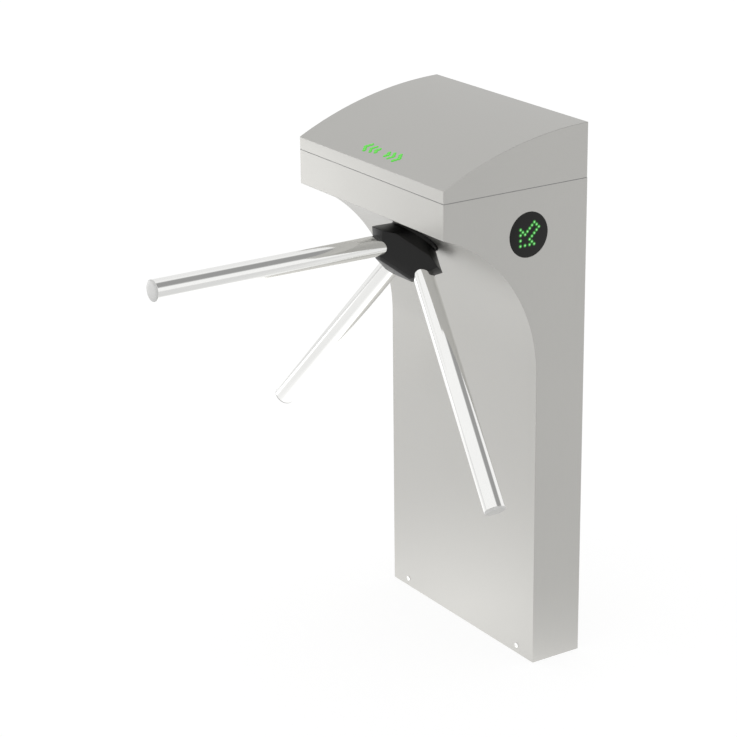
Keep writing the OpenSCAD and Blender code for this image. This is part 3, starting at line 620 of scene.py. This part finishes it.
def build_lid():
    lid = prism("lid_shell", lid_outline(0, LID_LOW, BACK), -BODY_X, BODY_X)
    bevel_edges(lid, lambda a, b: max(a.z, b.z) > LID_LOW + NEAR, FOLD_R)
    hollow = lid_outline(SHEET_T, LID_LOW - PAST, BACK - SHEET_T)
    inner = prism("cutter", hollow, -INNER_X, INNER_X)
    holes = [
        cylinder(on_lid(x, y), DISPLAY_R + RUNNING_GAP, -PAST, PAST, 24)
        for x, y, _ in display_dots()
    ]
    sideways = Matrix.Rotation(math.pi / 2, 4, "Y")
    at_lock = Matrix.Translation((-BODY_X, LOCK[0], LOCK[1])) @ sideways
    keyhole = cylinder(at_lock, KEYHOLE_R, -PAST, PAST)
    cut(lid, inner, keyhole, joined("holes", holes))
    bevel(lid, EDGE_R, 50)
    flatten_normals(applied(lid))
    made(lid, "lid", "stainless_sheet", "lid", mat="lid_top")


def glow_at(share):
    """How much of the core's colour shows at this share of a lens's radius."""
    return min(1, max(0, (CORE_GONE - share) / (CORE_GONE - CORE_FULL)))


def lens(bm, matrix, stem_r, r, height, depth):
    """Adds a domed lens on its stem to bm, its middle marked for the glow."""
    core = bm.verts.layers.float.get("core") or bm.verts.layers.float.new("core")
    n = 24
    rows = [(stem_r, -depth, 0), (stem_r, LENS_SEAT, 0), (r, LENS_SEAT, 0)]
    for k in range(1, 6):
        t = math.pi / 2 * k / 5
        z = LENS_SEAT + height * math.sin(t)
        rows.append((r * math.cos(t), z, glow_at(math.cos(t))))
    loops = []
    for ring_r, z, mark in rows[:-1]:
        loop = []
        for i in range(n):
            a = 2 * math.pi * i / n
            v = bm.verts.new(matrix @ Vector((ring_r * math.cos(a), ring_r * math.sin(a), z)))
            v[core] = mark
            loop.append(v)
        loops.append(loop)
    for lower, upper in zip(loops, loops[1:]):
        for i in range(n):
            j = (i + 1) % n
            bm.faces.new((lower[i], lower[j], upper[j], upper[i]))
    tip = bm.verts.new(matrix @ Vector((0, 0, rows[-1][1])))
    tip[core] = rows[-1][2]
    for i in range(n):
        bm.faces.new((loops[-1][i], loops[-1][(i + 1) % n], tip))
    bm.faces.new(loops[0][::-1])


# Lights of the window's arrow, in pitches from its tip, and the window's middle
ARROW = [
    (0, 0), (2, 0), (4, 0), (6, 0), (5, 1), (4, 2), (5, 3), (6, 4), (7, 5), (8, 6),
    (7, 7), (6, 8), (5, 7), (4, 6), (3, 5), (2, 4), (1, 5), (0, 6), (0, 4), (0, 2),
]
ARROW_MIDDLE = (3.65, 3.7)


def build_indicator(side, word):
    """A round dark window, its lit arrow and the board behind them."""
    frame_here = on_side(side)
    face = INNER_X + WINDOW_T
    r = WINDOW_R - WINDOW_GAP
    profile = [(0, face), (r - 0.0012, face)]
    profile += [(r - 0.0005, face - 0.0001), (r, face - 0.0005), (r, INNER_X)]
    flange, rear = r + WINDOW_FLANGE, INNER_X - FLANGE_T
    profile += [(flange, INNER_X), (flange, rear), (0, rear)]
    window = lathe("window_" + word, profile[::-1], frame_here, 128)
    bm = bmesh.new()
    for i, j in ARROW:
        x, y = (i - ARROW_MIDDLE[0]) * LED_PITCH, (j - ARROW_MIDDLE[1]) * LED_PITCH
        place = frame_here @ Matrix.Translation((x, y, face))
        lens(bm, place, LED_R, LED_LIP_R, height=0.0004, depth=0.003)
    lights = new_object("arrow_" + word, bm)
    made(window, "cabinet", "dark_window", "indicator_window_" + word)
    made(lights, "cabinet", "green_light", "indicator_lights_" + word)
    low = BOARD_X - BOARD_T
    profile = [(0, low), (BOARD_R, low), (BOARD_R, BOARD_X), (0, BOARD_X)]
    board = lathe("arrow_board_" + word, profile, frame_here, 96)
    made(board, "cabinet", "circuit_board")


def build_display():
    bm = bmesh.new()
    for x, y, lip_r in display_dots():
        lens(bm, on_lid(x, y), DISPLAY_R, lip_r, height=0.0006, depth=0.0075)
    display = new_object("display_arrows", bm)
    made(display, "lid", "green_light", "display_lights", mat="display_light")


# Hub and arms


def flat_at(z):
    """Distance of the three flat sides from the hub's axis."""
    return RIM_FLAT + (FACE_FLAT - RIM_FLAT) * (z - RIM_LOW) / (FACE_Z - RIM_LOW)


def lobe_at(z):
    """Radius over the arms, below the widest place."""
    return RIM_R - (z - RIM_HIGH) / math.tan(TILT)


def hub_loop(z, r, g=0.0):
    """A disc with three flats cut off, drawn in by g."""
    r, flat = r - g, flat_at(z) - g
    half = math.pi / 3 - math.acos(flat / r)
    wide = math.sqrt(r * r - flat * flat)
    points = []
    for k in range(3):
        lobe = math.pi / 2 - k * 2 * math.pi / 3
        for i in range(-6, 7):
            t = lobe - half * i / 6
            points.append((r * math.cos(t), r * math.sin(t), z))
        out = lobe - math.pi / 3
        for j in range(1, 12):
            off = wide * (1 - j / 6)
            x = flat * math.cos(out) - off * math.sin(out)
            y = flat * math.sin(out) + off * math.cos(out)
            points.append((x, y, z))
    return points


def neck_loop(r, z, like):
    """A round loop whose points lie under those of another."""
    loop = []
    for x, y, _ in like:
        k = r / math.hypot(x, y)
        loop.append((x * k, y * k, z))
    return loop


def between(a, b, t):
    """The loop a share t of the way from loop a to loop b."""
    return [tuple(p + (q - p) * t for p, q in zip(u, v)) for u, v in zip(a, b)]


def sockets():
    """Cutters for the three arms' sockets."""
    r = ARM_R + RUNNING_GAP
    return [
        cylinder(AT_HUB @ arm_frame(a), r, SOCKET_START, SOCKET_END, 96) for a in (0, 120, 240)
    ]


def build_hub():
    rise = (RIM_LOW - NECK_TOP) / (RIM_HIGH - NECK_TOP)
    rim = hub_loop(RIM_LOW, NECK_R + (RIM_R - NECK_R) * rise)
    neck = [(NECK_R - 0.001, NECK_LOW), (NECK_R, NECK_LOW + 0.001)]
    neck += [(NECK_R, NECK_TOP - 0.0005), (NECK_R, NECK_TOP)]
    loops = [neck_loop(r, z, rim) for r, z in neck]
    loops += [between(loops[-1], rim, t) for t in (0.25, 0.5, 0.75)]
    loops += [rim, hub_loop(RIM_HIGH - 0.0015, RIM_R), hub_loop(RIM_HIGH, RIM_R)]
    last = hub_loop(FACE_Z - 0.0006, lobe_at(FACE_Z))
    loops += [between(loops[-1], last, t) for t in (0.25, 0.5, 0.75)]
    loops += [last, hub_loop(FACE_Z, lobe_at(FACE_Z), 0.0005)]
    hub = loft("hub_body", loops, AT_HUB)
    # Sockets, then bores for shaft, bolt and bolt head
    cutters = sockets()
    cutters.append(cylinder(AT_HUB, SHAFT_R, -0.03, SHAFT_END))
    cutters.append(cylinder(AT_HUB, BOLT_R, -0.03, 0.07))
    cutters.append(cylinder(AT_HUB, BOLT_HEAD_R, BOLT_SEAT, 0.08))
    cut(hub, *cutters)
    bevel(hub, HUB_EDGE_R, 27, segments=3)
    applied(hub, sharp=30)
    made(hub, "rotor", "hub_black", "hub")
    top = FACE_Z + COVER_T
    # Heights of the cover and how far its outline is drawn in there
    rows = ((FACE_Z, 0.0008), (FACE_Z + 0.0004, 0.0005), (FACE_Z + 0.001, 0.0005))
    rows += ((top - 0.0007, 0.0018), (top - 0.0002, 0.0023), (top, 0.0032))
    cover = loft("hub_face", [hub_loop(z, lobe_at(z), g) for z, g in rows], AT_HUB)
    cut(cover, *sockets())
    made(cover, "rotor", "black_plastic", "hub_cover")


def arm_frame(a):
    """Turns +Z to an arm's direction, a degrees round the hub from the level arm."""
    return Matrix.Rotation(math.radians(-a), 4, "Z") @ Matrix.Rotation(-TILT, 4, "X")


def build_arm(number, a):
    place = AT_HUB @ arm_frame(a)
    end = ARM_LEN - CAP_T
    inner = ARM_R - ARM_WALL
    start = SOCKET_START + RUNNING_GAP
    # A fine groove runs round the joint of tube and cap
    groove, apart, chamfer = 0.0004, 0.00005, 0.0005
    tube = [(inner, start), (ARM_R - chamfer, start), (ARM_R, start + chamfer)]
    tube += [(ARM_R, start + (end - start) * k / 12) for k in range(1, 12)]
    tube += [(ARM_R, end - groove), (ARM_R - groove, end - apart), (inner, end - apart)]
    bm = bmesh.new()
    n = 96
    rows = [[bm.verts.new(place @ Vector(p)) for p in circle(r, z, n)] for r, z in tube]
    rows.append(rows[0])
    for u, v in zip(rows, rows[1:]):
        for i in range(n):
            j = (i + 1) % n
            bm.faces.new((u[i], u[j], v[j], v[i]))
    made(new_object(f"arm_tube_{number}", bm), "rotor", "polished_tube", f"arm_{number}")
    plug_r = inner - RUNNING_GAP
    cap = [(0, end - CAP_PLUG), (plug_r, end - CAP_PLUG), (plug_r, end)]
    cap += [(ARM_R - groove, end + apart), (ARM_R, end + groove)]
    cap += rounded(ARM_R, ARM_LEN - 0.0002, CAP_ROUND_R)
    cap += [(ARM_R * 0.6, ARM_LEN - 0.0001), (0, ARM_LEN)]
    cap_end = lathe(f"arm_end_{number}", cap, place, n)
    made(cap_end, "rotor", "polished_cap", f"arm_cap_{number}")


# Screws


def screw_head(place, r, height, socket):
    """A domed head with a six-sided socket, on its shank."""
    shank_r, shank_len = SCREW_SHANK
    loops = [circle(shank_r - 0.0004, -shank_len), circle(shank_r, -shank_len + 0.0006)]
    loops += [circle(shank_r, 0), circle(r * 0.96, 0), circle(r, height * 0.2)]
    for k in range(1, 5):
        t = math.pi / 2 * k / 5
        z = height * (0.2 + 0.8 * math.sin(t))
        loops.append(circle(r * (0.55 + 0.45 * math.cos(t)), z))
    loops.append(circle(socket * 1.28, height))
    loops.append(circle(socket, height * 0.98, sides=6))
    loops.append(circle(socket, height * 0.35, sides=6))
    loops.append(circle(0, height * 0.3))
    return loft("screw", loops, place, sharp=30)


def build_screws():
    heads = []
    forwards = Matrix.Rotation(math.pi / 2, 4, "X")
    backwards = Matrix.Rotation(-math.pi / 2, 4, "X")
    for x in FRONT_SCREWS_X:
        place = Matrix.Translation((x, POST_FRONT, FRONT_SCREWS_Z)) @ forwards
        heads.append(screw_head(place, *FRONT_SCREW))
    for x in REAR_SCREWS_X:
        for z in REAR_SCREWS_Z:
            place = Matrix.Translation((x, BACK, z)) @ backwards
            heads.append(screw_head(place, *REAR_SCREW))
    screws = joined("panel_screw_heads", heads)
    made(screws, "cabinet", "zinc_steel", "panel_screws", mat="polished_tube")


def build_spring(word):
    """A coil spring in the place of the plunger spring."""
    node = "plunger_spring_" + word
    low, high = (Vector(corner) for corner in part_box(node))
    centre = (low + high) / 2
    coil_r = (high.z - low.z) / 2 - SPRING_WIRE
    turn_steps, sides = 24, 10
    rows = []
    for i in range(turn_steps * SPRING_TURNS + 1):
        turn = i / turn_steps
        # Half a turn at each end lies flat
        rise = min(1, max(0, (turn - 0.5) / (SPRING_TURNS - 1)))
        x = low.x + SPRING_WIRE + (high.x - low.x - 2 * SPRING_WIRE) * rise
        a = 2 * math.pi * turn
        row = []
        for j in range(sides):
            b = 2 * math.pi * j / sides
            r = coil_r + SPRING_WIRE * math.cos(b)
            off = SPRING_WIRE * math.sin(b)
            row.append((x + off, centre.y + r * math.cos(a), centre.z + r * math.sin(a)))
        rows.append(row)
    spring = loft("plunger_coil_" + word, rows)
    made(spring, "cabinet", "machined_steel", node)
    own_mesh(spring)


build_cabinet()
build_lid()
build_indicator(1, "right")
build_indicator(-1, "left")
build_display()
build_hub()
for number, a in ARMS:
    build_arm(number, a)
build_screws()
build_spring("right")
build_spring("left")

# CAD nodes that stay: a fine bevel and their own finish
BEVELS = {
    "rear_panel": EDGE_R,
    "lid_seal": 0.0,
    "code_disc": 0.0,
    "control_board": 0.0,
    "bearings": 0.0,
}
for node, obj in frame["nodes"].items():
    if obj.hide_render:
        continue
    obj.data.materials.clear()
    obj.data.materials.append(MATS[SLOT_OF[node]])
    width = BEVELS.get(node, NODE_EDGE_R)
    if width:
        bevel(obj, width, 40)

# Floor, world, lamp and camera


def maths(t, operation, a, b):
    """The outcome of a Math node on two linked values."""
    node = t.nodes.new("ShaderNodeMath")
    node.operation = operation
    t.links.new(a, node.inputs[0])
    t.links.new(b, node.inputs[1])
    return node.outputs[0]


def towards(t, vector, aim, turns, values):
    """A value that changes smoothly as vector reaches further towards aim."""
    dot = t.nodes.new("ShaderNodeVectorMath")
    dot.operation = "DOT_PRODUCT"
    dot.inputs[1].default_value = aim
    ramp = t.nodes.new("ShaderNodeMapRange")
    ramp.interpolation_type = "SMOOTHSTEP"
    ramp.inputs["From Min"].default_value = turns[0]
    ramp.inputs["From Max"].default_value = turns[1]
    ramp.inputs["To Min"].default_value = values[0]
    ramp.inputs["To Max"].default_value = values[1]
    t.links.new(vector, dot.inputs[0])
    t.links.new(dot.outputs["Value"], ramp.inputs["Value"])
    return ramp.outputs[0]


def around(t, place, centre, end, inside):
    """A value that falls evenly from inside at centre to 0 at the distance end."""
    apart = t.nodes.new("ShaderNodeVectorMath")
    apart.operation = "DISTANCE"
    apart.inputs[1].default_value = centre
    ramp = t.nodes.new("ShaderNodeMapRange")
    ramp.inputs["From Max"].default_value = end
    ramp.inputs["To Min"].default_value = inside
    ramp.inputs["To Max"].default_value = 0
    t.links.new(place, apart.inputs[0])
    t.links.new(apart.outputs["Value"], ramp.inputs["Value"])
    return ramp.outputs[0]


def background_rays(t):
    """1 for what the camera sees directly or in metal and glass."""
    rays = t.nodes.new("ShaderNodeLightPath")
    seen = maths(t, "MAXIMUM", rays.outputs["Is Camera Ray"], rays.outputs["Is Glossy Ray"])
    return maths(t, "MAXIMUM", seen, rays.outputs["Is Transmission Ray"])


def floor_material():
    mat = bpy.data.materials.new("floor")
    mat.use_nodes = True
    t = mat.node_tree
    t.nodes.clear()
    out = t.nodes.new("ShaderNodeOutputMaterial")
    plain = t.nodes.new("ShaderNodeBsdfDiffuse")
    plain.inputs["Color"].default_value = (0.8, 0.8, 0.8, 1)
    seen = t.nodes.new("ShaderNodeBsdfDiffuse")
    seen.inputs["Color"].default_value = (0.30, 0.30, 0.30, 1)
    lift = t.nodes.new("ShaderNodeEmission")
    # Metal sees a floor glow painted with light and shade: painted shade greyer to the right,
    # in front and far off to the left, a painted pool of light by the foot and a painted
    # highlight where the head's front mirrors it
    place = t.nodes.new("ShaderNodeNewGeometry").outputs["Position"]
    tone = towards(t, place, (0.83, 0.56, 0), turns=(0.10, 0.30), values=(0.85, 0.66))
    # Painted pool of light round the foot, seen only in metal
    painted_pool_by_foot = around(t, place, (-0.05, -0.12, 0), end=0.6, inside=0.40)
    tone = maths(t, "ADD", tone, painted_pool_by_foot)
    # Painted highlight patch on the floor, for the head's front to mirror
    painted_highlight_patch = around(t, place, (-3.1, -1.6, 0), end=1.3, inside=2.8)
    tone = maths(t, "ADD", tone, painted_highlight_patch)
    # Painted shade far off to the left and in front
    far = towards(t, place, (-0.7, -0.7, 0), turns=(3.4, 4.8), values=(1.0, 0.7))
    tone = maths(t, "MULTIPLY", tone, far)
    front = towards(t, place, (0.54, -0.84, 0), turns=(0.16, 0.50), values=(1.0, 0.80))
    tone = maths(t, "MULTIPLY", tone, front)
    rays = t.nodes.new("ShaderNodeLightPath")
    level = t.nodes.new("ShaderNodeMix")
    level.inputs["A"].default_value = 0.80
    t.links.new(rays.outputs["Is Glossy Ray"], level.inputs["Factor"])
    t.links.new(tone, level.inputs["B"])
    t.links.new(level.outputs["Result"], lift.inputs["Strength"])
    lit = t.nodes.new("ShaderNodeAddShader")
    pick = t.nodes.new("ShaderNodeMixShader")
    t.links.new(seen.outputs[0], lit.inputs[0])
    t.links.new(lift.outputs[0], lit.inputs[1])
    t.links.new(background_rays(t), pick.inputs["Fac"])
    t.links.new(plain.outputs[0], pick.inputs[1])
    t.links.new(lit.outputs[0], pick.inputs[2])
    t.links.new(pick.outputs[0], out.inputs[0])
    return mat


def build_floor():
    bm = bmesh.new()
    bmesh.ops.create_circle(bm, cap_ends=True, radius=14, segments=96)
    floor = new_object("floor", bm)
    # Just under the foot, so that the two don't share a plane
    floor.location.z = -0.0002
    floor.data.materials.append(floor_material())


def build_world():
    world = bpy.data.worlds.new("studio")
    scene.world = world
    world.use_nodes = True
    t = world.node_tree
    t.nodes.clear()
    out = t.nodes.new("ShaderNodeOutputWorld")
    soft = t.nodes.new("ShaderNodeBackground")
    soft.inputs["Color"].default_value = (1, 1, 1, 1)
    soft.inputs["Strength"].default_value = 0.72
    white = t.nodes.new("ShaderNodeBackground")
    white.inputs["Color"].default_value = (1, 1, 1, 1)
    white.inputs["Strength"].default_value = 1.0
    # Metal sees a dark part of the room, high up behind the right side, and a greyer left
    room = t.nodes.new("ShaderNodeBackground")
    room.inputs["Color"].default_value = (0.8, 0.8, 0.8, 1)
    direction = t.nodes.new("ShaderNodeTexCoord").outputs["Generated"]
    dark = towards(t, direction, (0.40, 0.50, 0.77), turns=(0.86, 0.96), values=(1.22, 0.42))
    grey = towards(t, direction, (-0.85, 0.35, 0.40), turns=(0.5, 0.9), values=(1.0, 0.90))
    t.links.new(maths(t, "MULTIPLY", dark, grey), room.inputs["Strength"])
    rays = t.nodes.new("ShaderNodeLightPath").outputs
    glossy = t.nodes.new("ShaderNodeMixShader")
    t.links.new(rays["Is Glossy Ray"], glossy.inputs["Fac"])
    t.links.new(soft.outputs[0], glossy.inputs[1])
    t.links.new(room.outputs[0], glossy.inputs[2])
    clear = maths(t, "MAXIMUM", rays["Is Camera Ray"], rays["Is Transmission Ray"])
    pick = t.nodes.new("ShaderNodeMixShader")
    t.links.new(clear, pick.inputs["Fac"])
    t.links.new(glossy.outputs[0], pick.inputs[1])
    t.links.new(white.outputs[0], pick.inputs[2])
    t.links.new(pick.outputs[0], out.inputs[0])


def lamp(name, place, aim, size, power):
    """A soft lamp that neither the camera nor the metal sees."""
    data = bpy.data.lights.new(name, "AREA")
    data.shape = "DISK"
    data.size = size
    data.energy = power
    obj = bpy.data.objects.new(name, data)
    scene.collection.objects.link(obj)
    obj.location = place
    obj.rotation_euler = (Vector(aim) - Vector(place)).to_track_quat("-Z", "Y").to_euler()
    obj.visible_camera = False
    obj.visible_glossy = False


def build_camera():
    """The photograph's camera, solved from the cabinet's edges."""
    eye = Vector((3.3378, -2.4122, 1.9730))
    target = Vector((-0.2446, -0.0969, 0.4425))
    roll = math.radians(-0.679)
    data = bpy.data.cameras.new("camera")
    data.lens = 115.47
    data.sensor_width = 36
    camera = bpy.data.objects.new("camera", data)
    scene.collection.objects.link(camera)
    back = (eye - target).normalized()
    right = Vector((0, 0, 1)).cross(back).normalized()
    up = back.cross(right)
    turned_x = math.cos(roll) * right + math.sin(roll) * up
    turned_y = -math.sin(roll) * right + math.cos(roll) * up
    turn = Matrix((turned_x, turned_y, back)).transposed().to_4x4()
    camera.matrix_world = Matrix.Translation(eye) @ turn
    scene.camera = camera


scene = bpy.context.scene
scene.view_settings.view_transform = "Standard"
build_floor()
build_world()
lamp("key", place=(-3.2, -1.9, 0.85), aim=(-0.1, -0.25, 0.87), size=2.0, power=7)
build_camera()
